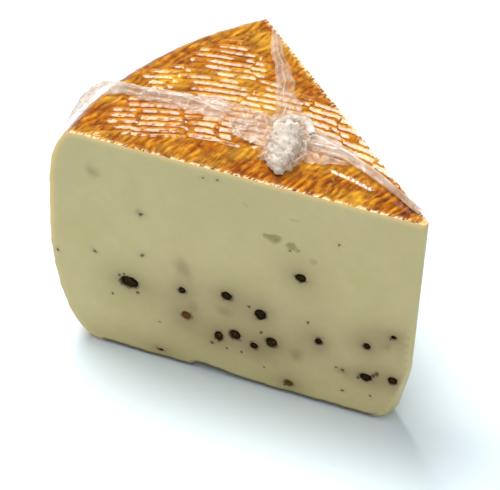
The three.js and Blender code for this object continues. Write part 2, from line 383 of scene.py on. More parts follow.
def distance_inside(places, loop, chosen=None):
    """How far each place is from the loop, and whether it is inside. `chosen` leaves sides out."""
    start, side = loop, np.roll(loop, -1, 0) - loop
    if chosen is not None:
        start, side = start[chosen], side[chosen]
    nearest = np.full(len(places), 1e9)
    crossings = np.zeros(len(places), int)
    for (x0, y0), (dx, dy) in zip(start, side):
        span = max(dx * dx + dy * dy, 1e-12)
        share = np.clip(((places[:, 0] - x0) * dx + (places[:, 1] - y0) * dy) / span, 0, 1)
        gap = np.hypot(places[:, 0] - x0 - share * dx, places[:, 1] - y0 - share * dy)
        nearest = np.minimum(nearest, gap)
        spans = (y0 > places[:, 1]) != (y0 + dy > places[:, 1])
        with np.errstate(divide="ignore", invalid="ignore"):
            crossing = x0 + (places[:, 1] - y0) * dx / dy
        crossings += (spans & (places[:, 0] < crossing)).astype(int)
    return nearest, crossings % 2 == 1


def outline_share(places, reach, rise, half_width, half_height, seed, ragged):
    """Distance from a feature's middle, where 1 is its ragged outline."""
    across, up = (places[:, 0] - reach) / half_width, (places[:, 1] - rise) / half_height
    turn = np.arctan2(up, across)
    wave = 0.0
    for order in (2, 3, 5):
        wave += math.sin(seed * 3.1 + order) * np.cos(order * turn + seed * 1.7 * order) / order
    return np.hypot(across, up) / (1 + ragged * wave)


def face_relief(places, nearest, corns, eyes, crumbs, shades):
    """For places in a cut face: depth in mm, stain, crumb and painted shade in the eyes, the last three from
    0 to 1.
    """
    flat = np.stack([places[:, 0], places[:, 1], 0 * places[:, 0]], 1)
    depth = noise_at(flat, 24.0, 41) * 0.16 + noise_at(flat, 6.0, 42) * 0.03
    stain, crumb, eye_shade = (np.zeros(len(places)) for _ in range(3))
    for reach, rise, half_width, half_height in corns:
        share = outline_share(places, reach, rise, half_width, half_height, reach, 0.0)
        depth += SOCKET_DEPTH * smoothstep(0.97, 0.87, share)
        gap = np.maximum(share - 1, 0) * (half_width + half_height) / 2
        torn = gap + 0.55 * noise_at(flat, 1.1, reach)
        crumb = np.maximum(crumb, 0.75 * smoothstep(0.7, 0.0, torn) * smoothstep(1.6, 0.8, gap))
        stain = 1 - (1 - stain) * (1 - 0.55 * np.exp(-((gap / 2.6) ** 1.2)))
        stain = 1 - (1 - stain) * (1 - 0.16 * np.exp(-((gap / 9.0) ** 2)))
    for reach, rise, half_width, half_height, deepest in eyes:
        share = outline_share(places, reach, rise, half_width, half_height, reach, 0.3)
        depth += deepest * smoothstep(1.0, 0.35, share)
        # Painted shade in the eyes, darker the deeper the eye.
        eye_shade = np.maximum(eye_shade, smoothstep(1.15, 0.6, share) * min(1.0, deepest / 0.8))
    for reach, rise, radius in crumbs:
        share = outline_share(places, reach, rise, radius, radius, reach, 0.5)
        crumb = np.maximum(crumb, smoothstep(1.25, 0.5, share))
        stain = np.maximum(stain, 0.25 * smoothstep(3.5, 1.0, share))
    for reach, rise, radius in shades:
        share = outline_share(places, reach, rise, radius, radius, reach, 0.4)
        stain = 1 - (1 - stain) * (1 - 0.55 * smoothstep(1.8, 0.1, share))
    band = smoothstep(6, 18, places[:, 1]) * smoothstep(46, 26, places[:, 1])
    band *= smoothstep(104, 78, places[:, 0]) * (0.6 + 0.6 * noise_at(flat, 11.0, 43))
    stain = np.clip(stain + 0.22 * np.clip(band, 0, 1), 0, 1)
    depth *= smoothstep(0.0, 2.5, nearest)
    return depth, stain, crumb, eye_shade


# -------- the cheese

def foot_gap(reach, y):
    """How far the base is off the floor near the front cut, at distances from the axis."""
    along = np.stack([reach, 0 * y, 0 * y], -1).reshape(-1, 3)
    wave = noise_at(along, 9.0, 51) * 0.3 + noise_at(along, 2.6, 52) * 0.2
    notch = FOOT_NOTCH * smoothstep(FOOT_NOTCH_FROM + 1.5, FOOT_NOTCH_FROM, reach)
    notch = notch * smoothstep(FOOT_NOTCH_TO, FOOT_NOTCH_FROM, reach)
    gap = np.maximum(notch + wave.reshape(reach.shape) + FOOT_GAP, 0.05)
    return gap * np.exp(-((y / FOOT_GAP_DEPTH) ** 2))


def plain_grid(loop, angles):
    """The profile turned round the axis and cut back to the blunt tip: reach and height."""
    columns = []
    for angle in angles:
        start = tip_start(np.full(len(loop), angle - WEDGE_ANGLE / 2), loop[:, 1])
        pushed = start + loop[:, 0] * (1 - start / TIP_REACH)
        columns.append(np.where(loop[:, 0] < TIP_REACH, pushed, loop[:, 0]))
    reach = np.array(columns)
    return reach, np.broadcast_to(loop[:, 1], reach.shape)


def rind_relief(x, y, z, reach, parts):
    """The relief of the rind in mm, and how far it is rib and crest, from 0 to 1. How far it is rib paints
    light on the ribs and shade in their grooves.
    """
    on_rim = np.broadcast_to(parts == 1, x.shape)
    near_top = on_rim & (z > HEIGHT - 14) & (reach < RADIUS - SHOULDER_DEPTH + 4)
    on_top = near_top | (parts == 0)
    top_relief, top_rib_shading, crest, rim_relief, rim_rib_shading = (np.zeros(x.shape) for _ in range(5))
    top_relief[on_top], top_rib_shading[on_top], crest[on_top] = top_pattern(x[on_top], y[on_top])
    rim_relief[on_rim], rim_rib_shading[on_rim] = rim_pattern(x[on_rim], y[on_rim], z[on_rim])
    to_rim = smoothstep(HEIGHT - 2.0, HEIGHT - 10.0, z) * on_rim
    relief = top_relief * (1 - to_rim) + rim_relief * to_rim
    relief *= smoothstep(1.0, 6.0, reach) * (parts <= 1) * smoothstep(0.5, 8.0, z)
    return relief, top_rib_shading * (1 - to_rim) + rim_rib_shading * to_rim, crest


def rind_grid(loop, outward, parts):
    """The rind and the tip, by angle: distance from the axis, points, and the values painted on."""
    angles = np.linspace(0, WEDGE_ANGLE, ANGLE_STEPS + 1)
    cosine, sine = np.cos(angles)[:, None], np.sin(angles)[:, None]
    plain_reach, z = plain_grid(loop, angles)
    relief, rib, crest = rind_relief(-plain_reach * cosine, plain_reach * sine, z, plain_reach, parts)
    reach, z = plain_reach + outward[:, 0] * relief, z + outward[:, 1] * relief
    x, y = -reach * cosine, reach * sine
    z = z + foot_gap(reach, y) * np.exp(-z / 2.5)
    from_cut = np.minimum(y, plain_reach * np.sin(WEDGE_ANGLE - angles)[:, None])
    # Painted highlight: glints along the rind's edge at both cuts, on its upper part.
    painted_glint = np.exp(-((from_cut / 0.9) ** 2)) * (parts <= 1) * smoothstep(20, 60, z)
    # Darker base near the cuts: partly the base's own dark rind, partly painted contact shadow.
    foot = np.exp(-from_cut / 3.0) * (parts == 2)
    # On the rind this value is a painted highlight, glints along the cut edges and on the crest; on the cut
    # faces it is the paste's own yellow under the rind.
    return reach, np.stack([x, y, z], -1), {"rib": rib, "skin_and_glint": np.maximum(painted_glint, crest), "foot": foot}


def grid_faces(loop, parts):
    """The faces between the grid's columns, and the material of each: 0 for rind, 1 for paste."""
    count = len(loop)
    bare = (parts == 3) | ((parts == 0) & (loop[:, 0] < 2.0))
    faces = []
    for column in range(ANGLE_STEPS):
        here, there = column * count, (column + 1) * count
        for place in range(count):
            after = (place + 1) % count
            faces.append((here + place, there + place, there + after, here + after))
    return faces, [int(material) for material in bare] * ANGLE_STEPS


def behind_cut(reach, rise, depth, on_back):
    """Points at some depth behind a cut face, in the wheel's frame."""
    turn = WEDGE_ANGLE if on_back else 0.0
    inward = -math.cos(turn) if on_back else 1.0
    x = -reach * math.cos(turn) - depth * math.sin(turn)
    return np.stack([x, reach * math.sin(turn) + depth * inward, rise], -1)


def cut_face(outline, parts, first_border, first_new, on_back):
    """A cut face inside its outline: its new points, the values painted on them, and triangles."""
    front, back = (FRONT_CORNS, FRONT_EYES, FRONT_CRUMBS), (BACK_CORNS, BACK_EYES, BACK_CRUMBS)
    features, shades = (back, BACK_SHADES) if on_back else (front, FRONT_SHADES)
    count = len(outline)
    inner = face_points(outline, *features, 5 + on_back)
    flat = [Vector(point) for point in np.concatenate([outline, inner])]
    edges = [(place, (place + 1) % count) for place in range(count)]
    found, _, triangles, origins, _, _ = delaunay_2d_cdt(flat, edges, [], 1, 1e-6)
    numbers, places = [], []
    for place, origin in zip(found, origins):
        borders = [item for item in origin if item < count]
        numbers.append(first_border + borders[0] if borders else first_new + len(places))
        if not borders:
            places.append(tuple(place))
    places = np.array(places)
    nearest, from_rind, from_base = (
        distance_inside(places, outline, chosen)[0] for chosen in (None, parts <= 1, parts == 2)
    )
    depth, stain, crumb, eye_shade = face_relief(places, nearest, *features, shades)
    skin_and_glint = smoothstep(2.2, 0.0, from_rind) * (0.35 + 0.65 * smoothstep(15, 50, places[:, 1]))
    # Dark line along the base: partly the cut edge of the dark base rind, partly painted contact shadow.
    foot = smoothstep(1.1, 0.35, from_base)
    values = {"stain": stain, "crumb": crumb, "eye_shade": eye_shade, "skin_and_glint": skin_and_glint, "foot": foot}
    faces = [tuple(numbers[corner] for corner in triangle) for triangle in triangles]
    if not on_back:
        faces = [face[::-1] for face in faces]
    return behind_cut(places[:, 0], places[:, 1], depth, on_back), values, faces


def make_cheese():
    """Paste and rind as one closed mesh: a grid round the rind and the tip, and two cut faces."""
    loop, outward, parts = profile_loop()
    count = len(loop)
    reach, grid, grid_values = rind_grid(loop, outward, parts)
    sections = [(grid.reshape(-1, 3), grid_values)]
    faces, materials = grid_faces(loop, parts)
    total, sharp = len(sections[0][0]), set()
    for column in (0, ANGLE_STEPS):
        outline = np.stack([reach[column], grid[column, :, 2]], 1)
        first = column * count
        points, values, triangles = cut_face(outline, parts, first, total, column > 0)
        sections.append((points, values))
        faces += triangles
        materials += [1] * len(triangles)
        sharp |= {frozenset((first + place, first + (place + 1) % count)) for place in range(count)}
        total += len(points)
    cheese = new_mesh("cheese", to_row(np.concatenate([points for points, _ in sections])), faces)
    for name in ("rib", "stain", "crumb", "eye_shade", "skin_and_glint", "foot"):
        painted = [values.get(name, np.zeros(len(points))).reshape(-1) for points, values in sections]
        add_values(cheese, name, np.concatenate(painted))
    cheese.data.polygons.foreach_set("material_index", materials)
    for edge in cheese.data.edges:
        if frozenset(edge.vertices) in sharp:
            edge.use_edge_sharp = True
    return cheese


# -------- materials

class Nodes:
    """Short ways to add and join a material's nodes."""

    def __init__(self, name):
        self.material = bpy.data.materials.new(name)
        self.material.use_nodes = True
        self.tree = self.material.node_tree
        self.shader = self.tree.nodes["Principled BSDF"]
        self.place = self.add("TexCoord").outputs["Object"]

    def add(self, kind, **sockets):
        node = self.tree.nodes.new("ShaderNode" + kind)
        for name, value in sockets.items():
            self.feed(node.inputs[name.replace("_", " ")], value)
        return node

    def feed(self, socket, value):
        if isinstance(value, bpy.types.NodeSocket):
            self.tree.links.new(value, socket)
        else:
            socket.default_value = value

    def value(self, name):
        node = self.add("Attribute")
        node.attribute_name = name
        return node.outputs["Fac"]

    def noise(self, size, detail=3.0, rough=0.5, stretch=None, turn=0.0):
        """Noise with features about `size` mm wide, drawn out where `stretch` is below 1."""
        place = self.place
        if turn:
            place = self.add("Mapping", Vector=place, Rotation=(0.0, 0.0, turn)).outputs[0]
        if stretch:
            place = self.add("Mapping", Vector=place, Scale=stretch).outputs[0]
        node = self.add("TexNoise", Vector=place, Scale=1 / (size * MM), Detail=detail, Roughness=rough)
        return node.outputs["Fac"]

    def ramp(self, value, *stops):
        node = self.add("ValToRGB")
        ramp = node.color_ramp
        while len(ramp.elements) < len(stops):
            ramp.elements.new(0.5)
        for element, (position, colour) in zip(ramp.elements, stops):
            element.position = position
            element.color = rgba(colour)
        self.feed(node.inputs[0], value)
        return node.outputs[0]

    def mix(self, share, one, other):
        node = self.add("Mix")
        node.data_type = "RGBA"
        for number, item in ((0, share), (6, one), (7, other)):
            self.feed(node.inputs[number], item)
        return node.outputs[2]

    def math(self, kind, one, other):
        node = self.add("Math")
        node.operation = kind
        self.feed(node.inputs[0], one)
        self.feed(node.inputs[1], other)
        return node.outputs[0]

    def total(self, *terms):
        """The sum of values, each times its factor."""
        result = 0.0
        for value, factor in terms:
            result = self.math("ADD", self.math("MULTIPLY", value, factor), result)
        return result

    def tint(self, colour, name, strength, other):
        """Mixes in another colour where the mesh's value `name` is above 0."""
        return self.mix(self.math("MULTIPLY", self.value(name), strength), colour, rgba(other))

    def spread(self, value, from_low, from_high, to_low, to_high):
        node = self.add("MapRange")
        for number, item in enumerate((value, from_low, from_high, to_low, to_high)):
            self.feed(node.inputs[number], item)
        return node.outputs[0]

    def bump(self, height, strength, distance):
        node = self.add("Bump", Height=height, Strength=strength, Distance=distance * MM)
        self.tree.links.new(node.outputs[0], self.shader.inputs["Normal"])

    def set(self, **sockets):
        for name, value in sockets.items():
            self.feed(self.shader.inputs[name.replace("_", " ")], value)


def rgba(colour):
    """A colour from 0 to 255 as the linear values that nodes take."""
    shares = [channel / 255 for channel in colour]
    linear = [s / 12.92 if s <= 0.04045 else ((s + 0.055) / 1.055) ** 2.4 for s in shares]
    return (*linear, 1.0)


def rind_material():
    """Moulded orange-brown rind under tight glossy film, with painted shade in its grooves and painted
    highlights on its ribs and cut edges.
    """
    nodes = Nodes("rind")
    blotch = nodes.noise(8.0, 5.0, 0.6)
    grain = nodes.noise(1.5, 4.0, 0.65)
    streak = nodes.noise(1.1, 3.0, 0.55, (1.0, 0.16, 1.0), math.pi / 2 - STREAK_SLANT)
    # The rib value paints light on the ribs' crests and shade in the grooves between them.
    colour = nodes.ramp(
        nodes.total((nodes.value("rib"), 0.24), (blotch, 0.45), (grain, 0.3), (streak, 0.45)),
        (0.47, (72, 28, 3)),
        (0.57, (124, 56, 2)),
        (0.68, (162, 86, 3)),
        (0.81, (196, 118, 8)),
        (0.95, (232, 172, 42)),
    )
    fleck = nodes.spread(nodes.noise(2.6, 3.0, 0.6), 0.6, 0.7, 0.0, 0.55)
    gold = nodes.spread(nodes.noise(17.0, 3.0), 0.42, 0.66, 0.0, 0.35)
    # Golden tint on the ribs is a painted highlight; the gold patches and flecks are the rind's own colour.
    gold = nodes.total((gold, 1.0), (fleck, 0.5), (nodes.value("rib"), 0.22))
    colour = nodes.mix(gold, colour, rgba((224, 176, 56)))
    stroke = nodes.noise(1.0, 2.0, 0.5, (1.0, 0.2, 1.0), math.pi / 2 - STREAK_SLANT)
    colour = nodes.mix(nodes.spread(stroke, 0.36, 0.45, 0.6, 0.0), colour, rgba((100, 42, 3)))
    teeth = nodes.noise(0.75, 1.0, 0.5, (1.0, 0.35, 1.0), math.pi / 2 - STREAK_SLANT)
    # Painted highlight: pale glints in short teeth along the cut edges and on the crest.
    painted_glint = nodes.math("MULTIPLY", nodes.value("skin_and_glint"), nodes.spread(teeth, 0.45, 0.55, 0.0, 1.0))
    colour = nodes.mix(painted_glint, colour, rgba((250, 226, 180)))
    # Darker base near the cuts, partly dark base rind and partly painted contact shadow.
    nodes.set(Base_Color=nodes.tint(colour, "foot", 0.9, (60, 46, 24)))
    nodes.set(Roughness=nodes.spread(grain, 0.3, 0.7, 0.3, 0.5))
    nodes.set(Coat_Weight=0.8, Coat_Roughness=0.1, Coat_IOR=1.45, Specular_IOR_Level=0.02)
    glitter = nodes.noise(0.8, 2.0, 0.6)
    nodes.bump(nodes.total((streak, 1.0), (grain, 0.6), (glitter, 0.45)), 0.45, 0.45)
    return nodes.material


def paste_material():
    """Firm pale paste: khaki, stained round the peppercorns, and yellow under the rind, with painted shade
    in its eyes and a dark line along its base that is partly base rind and partly painted contact shadow.
    """
    nodes = Nodes("paste")
    cloud = nodes.noise(26.0, 3.0, 0.5)
    curd = nodes.noise(3.2, 4.0, 0.55)
    colour = nodes.ramp(cloud, (0.3, (188, 174, 120)), (0.55, (195, 180, 128)), (0.75, (187, 175, 116)))
    colour = nodes.mix(nodes.spread(curd, 0.35, 0.7, 0.0, 0.3), colour, rgba((180, 166, 118)))
    colour = nodes.tint(colour, "skin_and_glint", 0.75, (236, 200, 128))
    colour = nodes.tint(colour, "stain", 1.0, (134, 112, 70))
    # Painted shade in the eyes.
    colour = nodes.tint(colour, "eye_shade", 0.6, (150, 146, 84))
    colour = nodes.tint(colour, "crumb", 1.0, (58, 42, 6))
    # Dark line along the base, partly the base rind's cut edge and partly painted contact shadow.
    nodes.set(Base_Color=nodes.tint(colour, "foot", 0.9, (46, 42, 26)))
    nodes.set(Roughness=nodes.spread(curd, 0.3, 0.7, 0.36, 0.5))
    nodes.set(Subsurface_Weight=0.12, Subsurface_Scale=0.004, Specular_IOR_Level=0.45)
    nodes.shader.inputs["Subsurface Radius"].default_value = (1.0, 0.7, 0.35)
    nodes.set(Coat_Weight=0.15, Coat_Roughness=0.25)
    nodes.bump(nodes.noise(1.4, 4.0, 0.6), 0.15, 0.2)
    return nodes.material


def pepper_material():
    """Cut black peppercorn: a nearly black husk round a dark brown heart."""
    nodes = Nodes("pepper")
    mottle = nodes.spread(nodes.noise(0.9, 3.0), 0.3, 0.7, -0.35, 0.35)
    heart = nodes.math("ADD", nodes.value("heart"), mottle)
    colour = nodes.ramp(heart, (0.1, (20, 15, 2)), (0.6, (48, 36, 6)), (1.0, (104, 64, 20)))
    nodes.set(Base_Color=colour, Specular_IOR_Level=0.04)
    nodes.set(Roughness=nodes.spread(nodes.noise(0.5), 0.3, 0.7, 0.45, 0.8))
    nodes.bump(nodes.noise(0.45, 3.0, 0.6), 0.5, 0.2)
    return nodes.material


def film_material():
    """Clear film: nearly invisible where it is single, milky where it is gathered, and whiter and denser
    along creases and crumpled ridges, partly from the folds and partly as painted highlights.
    """
    nodes = Nodes("film")
    cloud = nodes.noise(5.0, 4.0, 0.6)
    thin = nodes.ramp(cloud, (0.3, (224, 190, 160)), (0.7, (238, 210, 182)))
    thick = nodes.ramp(cloud, (0.3, (214, 198, 181)), (0.7, (246, 237, 225)))
    veil = nodes.value("veil")
    nodes.set(Base_Color=nodes.mix(nodes.spread(veil, 0.1, 0.5, 0.0, 1.0), thin, thick))
    nodes.set(Alpha=nodes.math("MULTIPLY", veil, nodes.spread(cloud, 0.3, 0.7, 0.85, 1.15)))
    nodes.set(Roughness=nodes.spread(cloud, 0.3, 0.7, 0.12, 0.24), Specular_IOR_Level=0.35)
    nodes.bump(nodes.noise(1.2, 3.0, 0.6), 0.25, 0.2)
    return nodes.material


# -------- peppercorns

# Places of peppercorns in the front cut that are brown: distance from the axis and height.
BROWN_CORNS = [(74.3, 20.8), (39.5, 4.7)]

CORN_AROUND = 26
CORN_CAP = (0.25, 0.5, 0.72, 0.86, 0.96, 1.0)  # rings on its cut face, as shares of the outline
CORN_BACK, CORN_DEPTH = 5, 1.9
CORN_HEART = 0.45  # how much lighter its middle is than its husk


def corn_shape(seed):
    """A cut peppercorn of half size 1: across, up and depth in mm, and how far it is heart."""
    order = np.arange(CORN_AROUND)
    turns = 2 * math.pi * order / CORN_AROUND
    ragged = 0.08 + 0.08 * chance(seed, 61)
    wobble = 0.97 + ragged * np.cos(2 * turns + seed) + 0.8 * ragged * np.cos(3 * turns + 2 * seed)
    wobble += 0.5 * ragged * np.cos(5 * turns + 5 * seed) + 0.03 * np.cos(8 * turns + 3 * seed)
    across, up = wobble * np.cos(turns), wobble * np.sin(turns)
    points, heart = [[(0.0, 0.0, 0.18)]], [[CORN_HEART]]
    for share in CORN_CAP:
        sunk = 0.2 - 0.22 * smoothstep(0.5, 0.85, share) + 0.3 * smoothstep(0.85, 1.0, share)
        rough = 0.1 * np.sin(seed * 7 + order * 1.9 + share * 9)
        points.append(np.stack([share * across, share * up, sunk + rough * (1 - share)], 1))
        heart.append(np.full(CORN_AROUND, CORN_HEART * (1.0 - smoothstep(0.3, 0.9, share))))
    for level in range(1, CORN_BACK + 1):
        turn_down = level / CORN_BACK * math.pi / 2
        width = math.cos(turn_down * 0.94)
        depth = np.full(CORN_AROUND, CORN_DEPTH * math.sin(turn_down))
        points.append(np.stack([width * across, width * up, depth], 1))
        heart.append(np.zeros(CORN_AROUND))
    points.append([(0.0, 0.0, CORN_DEPTH + 0.1)])
    heart.append([0.0])
    return np.concatenate(points), np.concatenate(heart)


def corn_faces():
    """The faces of a peppercorn: a fan at the front, rings, and a fan at the back."""
    faces = []
    rings = len(CORN_CAP) + CORN_BACK
    last, end = 1 + (rings - 1) * CORN_AROUND, 1 + rings * CORN_AROUND
    for number in range(CORN_AROUND):
        after = (number + 1) % CORN_AROUND
        faces.append((0, 1 + number, 1 + after))
        for here in range(1, last, CORN_AROUND):
            there = here + CORN_AROUND
            faces.append((here + number, there + number, there + after, here + after))
        faces.append((last + number, end, last + after))
    return faces


def make_peppercorn(name, section, on_back, seed, look):
    """A peppercorn as the knife left it: a ragged cut face with a husk, and a round back."""
    reach, rise, half_width, half_height = section
    shape, heart = corn_shape(seed)
    across, up = shape[:, 0] * half_width, shape[:, 1] * half_height
    placed = behind_cut(reach + across, rise + up, shape[:, 2], on_back)
    faces = corn_faces() if on_back else [face[::-1] for face in corn_faces()]
    corn = new_mesh(name + "_look", to_row(placed), faces)
    near = min(math.hypot(reach - place[0], rise - place[1]) for place in BROWN_CORNS)
    brown = 0.9 if near < 3 and not on_back else 0.2 * chance(seed, 62 + on_back)
    add_values(corn, "heart", heart + brown)
    corn.data.materials.append(look)
    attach(corn, "root")
    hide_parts(name)


# -------- cling film

FILM_GAP = 0.55  # from the rind to the film's outside
FILM_THICKNESS = 0.05
FLARE = 0.22  # how fast film that runs over the rim stands away from it
PANEL_STEPS, PANEL_ACROSS = 120, 44

RIM_CURVE = rim_curve()
RIM_RUN = np.concatenate([[0.0], np.cumsum(np.linalg.norm(np.diff(RIM_CURVE, axis=0), axis=1))])
RIM_ALONG = np.gradient(RIM_CURVE, axis=0)
RIM_OUT = np.stack([-RIM_ALONG[:, 1], RIM_ALONG[:, 0]], 1)
RIM_OUT /= np.maximum(np.linalg.norm(RIM_OUT, axis=1), 1e-9)[:, None]


def rind_point(x, y, lift):
    """A point `lift` mm off the rind. Past the top's edge, x and y run on down the rim."""
    run = math.hypot(x, y)
    angle = math.atan2(y, -x)
    edge = RADIUS - SHOULDER_DEPTH
    if run <= edge:
        return (x, y, HEIGHT + lift)
    reach, rise = (np.interp(run - edge, RIM_RUN, RIM_CURVE[:, axis]) for axis in range(2))
    slope_x, slope_z = (np.interp(run - edge, RIM_RUN, RIM_OUT[:, axis]) for axis in range(2))
    lift += FLARE * max(0.0, run - edge - 3.0)
    reach, rise = reach + slope_x * lift, rise + slope_z * lift
    return (-reach * math.cos(angle), reach * math.sin(angle), rise)


class FilmBuilder:
    """Collects thin closed sheets and crumpled bodies of film into one mesh."""

    def __init__(self):
        self.points, self.faces, self.veil, self.smooth = [], [], [], []

    def count(self):
        return sum(len(part) for part in self.points)

    def add_faces(self, faces, smooth):
        self.faces += faces
        self.smooth += [smooth] * len(faces)

    def add_sheet(self, grid, veil):
        """A sheet from a grid of points, made closed by a second side and a rim."""
        rows, columns = grid.shape[:2]
        along, across = np.gradient(grid, axis=0), np.gradient(grid, axis=1)
        normal = np.cross(along, across)
        normal /= np.maximum(np.linalg.norm(normal, axis=2), 1e-9)[..., None]
        upward = np.sign(normal[..., 2].mean()) or 1.0
        first = self.count()
        other = first + rows * columns
        self.points += [grid.reshape(-1, 3), (grid - upward * normal * FILM_THICKNESS).reshape(-1, 3)]
        self.veil += [veil.reshape(-1)] * 2
        faces = []
        for row in range(rows - 1):
            for column in range(columns - 1):
                a = row * columns + column
                b, c, d = a + 1, a + columns + 1, a + columns
                faces.append((first + a, first + d, first + c, first + b))
                faces.append((other + a, other + b, other + c, other + d))
        numbers = np.arange(rows * columns).reshape(rows, columns)
        sides = (numbers[0], numbers[1:, -1], numbers[-1, -2::-1], numbers[-2:0:-1, 0])
        rim = np.concatenate(sides).tolist()
        for here, there in zip(rim, rim[1:] + rim[:1]):
            faces.append((first + here, first + there, other + there, other + here))
        self.add_faces([face if upward > 0 else face[::-1] for face in faces], True)

    def finish(self, name, look):
        film = new_mesh(name, to_row(np.concatenate(self.points)), self.faces)
        film.data.polygons.foreach_set("use_smooth", self.smooth)
        add_values(film, "veil", np.concatenate(self.veil))
        film.data.materials.append(look)
        return film


def smooth_route(route, steps):
    """A route of points made smooth by a Catmull-Rom curve."""
    points = np.array(route, float)
    padded = np.concatenate([2 * points[:1] - points[1:2], points, 2 * points[-1:] - points[-2:-1]])
    result = []
    for spot in np.linspace(0, len(points) - 1 - 1e-6, steps):
        first = int(spot)
        t = spot - first
        a, b, c, d = padded[first:first + 4]
        curved = (2 * a - 5 * b + 4 * c - d) * t * t + (3 * b - a - 3 * c + d) * t**3
        result.append(0.5 * (2 * b + (c - a) * t + curved))
    return np.array(result)


def wave(x, y, z):
    return noise.noise(Vector((x, y, z)))


def creases_at(lines, along, v, width, seed):
    """What the creases add at one place of a panel: height in mm, and brightness, which thickens the film
    along the fold and paints a highlight on it.
    """
    height, bright = 0.0, 0.0
    for number, (start, end, rise) in enumerate(lines):
        place = start + (end - start) * along + 0.05 * wave(along * 6, number, seed)
        away = abs(v - place) * width
        height += rise * max(0.0, 1 - away / (0.8 + rise))
        glint = 0.55 + 0.9 * wave(along * 12, number * 3, seed + 9)
        bright = max(bright, math.exp(-((away / 0.3) ** 2)) * min(0.9, rise) * max(0.1, glint))
    return height, bright


def crumples_at(x, y, seed):
    """What crumpling adds at one place: height, and how near it is to a sharp ridge."""
    cells, _ = noise.voronoi(Vector((x / 4.2, y / 3.4, seed)))
    ridge = max(0.0, 1 - (cells[1] - cells[0]) * 4.5)
    return 0.5 + 0.8 * ridge + wave(x / 3, y / 3, seed), ridge


def ragged_shift(along, side, seed):
    """How far an edge of a panel strays, as a share of the panel's width."""
    return 0.12 * wave(along * 9, seed, side) + 0.07 * wave(along * 30, seed, side)


def add_panel(film, one_edge, other_edge, lift, cover, creases, seed, fades=(0.02, 0.02), crumple=0.0):
    """A taut gather between two edges given in plan, with a few sharp creases along it.

    Each crease is (share across at the start, at the end, height in mm). `cover` is how much the
    film hides, and `fades` are the shares of its length over which it fades in and out.
    """
    one, other = smooth_route(one_edge, PANEL_STEPS), smooth_route(other_edge, PANEL_STEPS)
    grid, veil = np.zeros((PANEL_STEPS, PANEL_ACROSS, 3)), np.zeros((PANEL_STEPS, PANEL_ACROSS))
    lines = [(0.03, 0.03, 0.12), (0.97, 0.97, 0.12), *creases]
    for step in range(PANEL_STEPS):
        along = step / (PANEL_STEPS - 1)
        one_shift, other_shift = (ragged_shift(along, side, seed) for side in (2.0, 8.0))
        fade = smoothstep(0.0, fades[0], along) * smoothstep(0.0, fades[1], 1 - along)
        width = np.linalg.norm(other[step] - one[step])
        for column in range(PANEL_ACROSS):
            v = column / (PANEL_ACROSS - 1)
            x, y = one[step] + (other[step] - one[step]) * (v + one_shift * (1 - v) + other_shift * v)
            raised, bright = creases_at(lines, along, v, width, seed)
            height = FILM_GAP + lift * (4 * v * (1 - v)) ** 0.7 + raised
            height += 0.35 * lift * wave(along * 7, v * 2.5, seed)
            if crumple:
                crumpled, ridge = crumples_at(x, y, seed)
                height += crumple * crumpled
                # Painted highlight along the crumples' sharp ridges.
                bright = max(bright, 0.45 * ridge**3)
            grid[step, column] = rind_point(x, y, max(height, 0.15))
            patchy = 0.9 + 0.9 * wave(along * 10, v * 2.5, seed + 4)
            edge = smoothstep(0.0, 0.02, min(v, 1 - v))
            # The veil: the film's own patchy cover, raised along creases and ridges as painted highlights.
            veil[step, column] = (cover * patchy + (0.95 - cover) * bright) * fade * edge
    film.add_sheet(grid, np.clip(veil, 0.0, 0.97))


def crumpled_size(here, radius, crumple, seed):
    """How far from its spine the skin of a crumpled body is."""
    cells, _ = noise.voronoi(here / 3.6 + Vector((seed, seed, seed)))
    dent = min((cells[1] - cells[0]) * 1.7, 1.0)
    ripple = noise.noise(here / 1.3 + Vector((seed, 1, 4)))
    size = radius * (1 + crumple * (0.34 * (dent - 0.6) + 0.16 * ripple))
    return size + crumple * 0.5 * noise.noise(here / 4.5 + Vector((0, seed, 0)))


def add_bunch(film, spine, cover, seed, steps, around, crumple=1.0):
    """The crumpled ends of the sheet: a body of small facets along a spine of (x, y, z, radius)."""
    spine = smooth_route(spine, steps)
    ahead = np.gradient(spine[:, :3], axis=0)
    points = []
    for step in range(steps):
        middle, radius = Vector(spine[step, :3]), spine[step, 3]
        forward = Vector(ahead[step]).normalized()
        side = forward.cross(Vector((0, 0, 1))).normalized()
        over = side.cross(forward)
        for number in range(around):
            turn = 2 * math.pi * (number + 0.5 * (step % 2)) / around
            outward = side * math.cos(turn) + over * math.sin(turn)
            size = crumpled_size(middle + outward * radius, radius, crumple, seed)
            spot = middle + outward * max(size, 0.1)
            spot.z = max(spot.z, HEIGHT + 0.4 + 0.03 * (number % 5))
            points.append(tuple(spot))
    first, last = film.count(), film.count() + (steps - 1) * around
    faces = [tuple(range(first, first + around)), tuple(reversed(range(last, last + around)))]
    for a in range(first, last, around):
        b = a + around
        for number in range(around):
            after = (number + 1) % around
            faces.append((a + number, b + number, b + after))
            faces.append((a + number, b + after, a + after))
    film.points.append(np.array(points))
    film.veil.append(np.full(len(points), cover))
    film.add_faces(faces, False)


